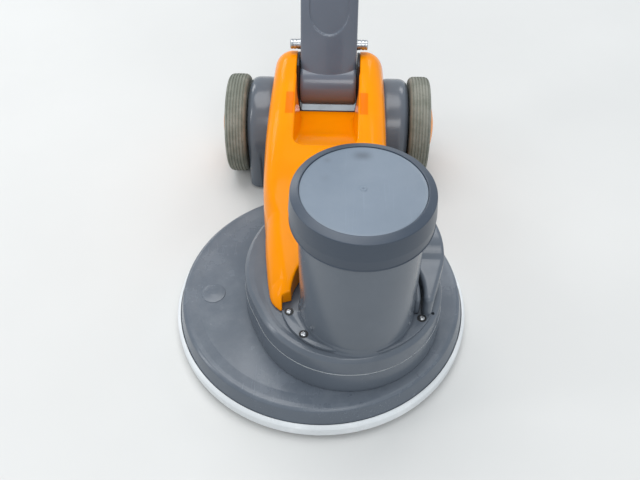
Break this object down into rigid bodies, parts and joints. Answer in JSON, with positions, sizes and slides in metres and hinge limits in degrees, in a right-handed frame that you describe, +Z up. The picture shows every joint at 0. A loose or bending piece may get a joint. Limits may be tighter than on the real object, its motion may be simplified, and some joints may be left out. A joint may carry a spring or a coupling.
{
  "type": "single-disc floor grinder",
  "caption": "Walk-behind concrete floor grinder: round disc housing with bumper ring, upright motor, hooded wheeled chassis and tilting handle.",
  "frame": {"origin": "on the floor, under the middle of the whole machine with its handle at rest", "axes": "+Z up, +Y from the grinding head towards the operator, +X to the right when the head is seen from the front"},
  "size_m": [0.44, 0.9882, 1.1883],
  "materials": {
    "deck_grey": "semi-gloss moulded plastic, scuffed",
    "shell_grey": "glossy moulded plastic with fine scuffs",
    "cap_grey": "satin moulded plastic",
    "inlay_grey": "satin sheet with rubbed marks",
    "hood_orange": "high-gloss moulded plastic",
    "bumper_white": "off-white moulded plastic, rubbed",
    "tyre_grey": "grey non-marking rubber, worn",
    "rim_black": "textured plastic",
    "zinc_steel": "zinc-plated steel",
    "gear_steel": "oiled machined steel",
    "cast_aluminium": "as-cast aluminium",
    "copper_wire": "varnished copper wire",
    "black_plastic": "fine-grained moulded plastic",
    "black_rubber": "ribbed rubber",
    "diamond_metal": "sintered metal with diamond grit",
    "tube_grey": "glossy plastic-clad tube"
  },
  "bodies": {
    "chassis": {"base_housing": "deck_grey", "bumper_ring": "bumper_white", "housing_plug": "deck_grey", "housing_screws": "zinc_steel", "gearcase_lower": "shell_grey", "gearcase_cover": "shell_grey", "gearcase_bearings": "gear_steel", "output_seal": "black_rubber", "side_shroud": "shell_grey", "run_capacitor": "cast_aluminium", "motor_shell": "shell_grey", "motor_flange": "shell_grey", "flange_screws": "zinc_steel", "stator_core": "gear_steel", "stator_windings": "copper_wire", "motor_brackets": "cast_aluminium", "motor_bearings": "gear_steel", "motor_cap": "cap_grey", "cap_inlay": "inlay_grey", "chassis_frame": "shell_grey", "hood": "hood_orange", "axle": "gear_steel", "axle_clips": "zinc_steel", "fork_brackets": "zinc_steel", "pivot_pin": "gear_steel", "brake_sector": "gear_steel"},
    "wheel_left": {"wheel_tyre_left": "tyre_grey", "wheel_rim_left": "rim_black", "hubcap_left": "hood_orange"},
    "wheel_right": {"wheel_tyre_right": "tyre_grey", "wheel_rim_right": "rim_black", "hubcap_right": "hood_orange"},
    "disc": {"output_shaft": "gear_steel", "output_gear": "gear_steel", "clutch_hub": "cast_aluminium", "pad_driver": "black_plastic", "grinding_plate": "zinc_steel", "diamond_segments": "diamond_metal"},
    "idler": {"idler_shaft": "gear_steel", "idler_gear": "gear_steel"},
    "rotor": {"rotor_shaft": "gear_steel", "rotor_core": "cast_aluminium", "cooling_fan": "black_plastic"},
    "handle": {"knuckle": "tube_grey", "handle_tube": "tube_grey", "cross_pin": "zinc_steel", "console_front": "cap_grey", "console_rear": "cap_grey", "handle_bar": "tube_grey", "grip_left": "black_rubber", "grip_right": "black_rubber", "cable_gland": "black_plastic", "switch_block": "black_plastic", "cable_hooks": "black_plastic", "rod_guides": "black_plastic"},
    "lever_left": {"switch_lever_left": "hood_orange"},
    "lever_right": {"switch_lever_right": "hood_orange"},
    "button": {"lock_button": "hood_orange"},
    "release": {"tilt_lever": "hood_orange"},
    "rod": {"brake_rod": "zinc_steel"}
  },
  "joints": [
    {"name": "wheel_spin_left", "type": "hinge", "parent": "chassis", "child": "wheel_left", "pos_m": [0, 0.08186, 0.0874], "axis": [1, 0, 0], "continuous": true},
    {"name": "wheel_spin_right", "type": "hinge", "parent": "chassis", "child": "wheel_right", "pos_m": [0, 0.08186, 0.0874], "axis": [1, 0, 0], "continuous": true},
    {"name": "disc_spin", "type": "hinge", "parent": "chassis", "child": "disc", "pos_m": [0, -0.27414, 0], "axis": [0, 0, 1], "continuous": true},
    {"name": "idler_spin", "type": "hinge", "parent": "chassis", "child": "idler", "pos_m": [0.05606, -0.30704, 0], "axis": [0, 0, 1], "continuous": true},
    {"name": "rotor_spin", "type": "hinge", "parent": "chassis", "child": "rotor", "pos_m": [0.052, -0.36114, 0], "axis": [0, 0, 1], "continuous": true},
    {"name": "handle_tilt", "type": "hinge", "parent": "chassis", "child": "handle", "pos_m": [0, 0.07786, 0.18], "axis": [-1, 0, 0], "range_deg": [-19, 45]},
    {"name": "lever_squeeze_left", "type": "hinge", "parent": "handle", "child": "lever_left", "pos_m": [-0.042, 0.43623, 1.11358], "axis": [0, 0.9336, -0.3584], "range_deg": [0, 5], "stiffness_Nm_per_rad": 4, "springref_deg": -2.86},
    {"name": "lever_squeeze_right", "type": "hinge", "parent": "handle", "child": "lever_right", "pos_m": [0.042, 0.43623, 1.11358], "axis": [0, -0.9336, 0.3584], "range_deg": [0, 5], "stiffness_Nm_per_rad": 4, "springref_deg": -2.86},
    {"name": "lock_press", "type": "slide", "parent": "handle", "child": "button", "axis": [0, -0.9336, 0.3584], "range_m": [0, 0.004], "stiffness_N_per_m": 300, "springref_m": -0.001},
    {"name": "brake_rod_lift", "type": "slide", "parent": "handle", "child": "rod", "axis": [0, 0.3584, 0.9336], "range_m": [0, 0.0062], "stiffness_N_per_m": 800, "springref_m": -0.002},
    {"name": "release_squeeze", "type": "hinge", "parent": "handle", "child": "release", "pos_m": [0, 0.43198, 1.01881], "axis": [-1, 0, 0], "range_deg": [0, 12]}
  ],
  "couplings": [
    {"joint": "idler_spin", "follows": "disc_spin", "ratio": -3.0625},
    {"joint": "rotor_spin", "follows": "disc_spin", "ratio": 8.8047},
    {"joint": "release_squeeze", "follows": "brake_rod_lift", "rad_per_m": 33.5}
  ]
}
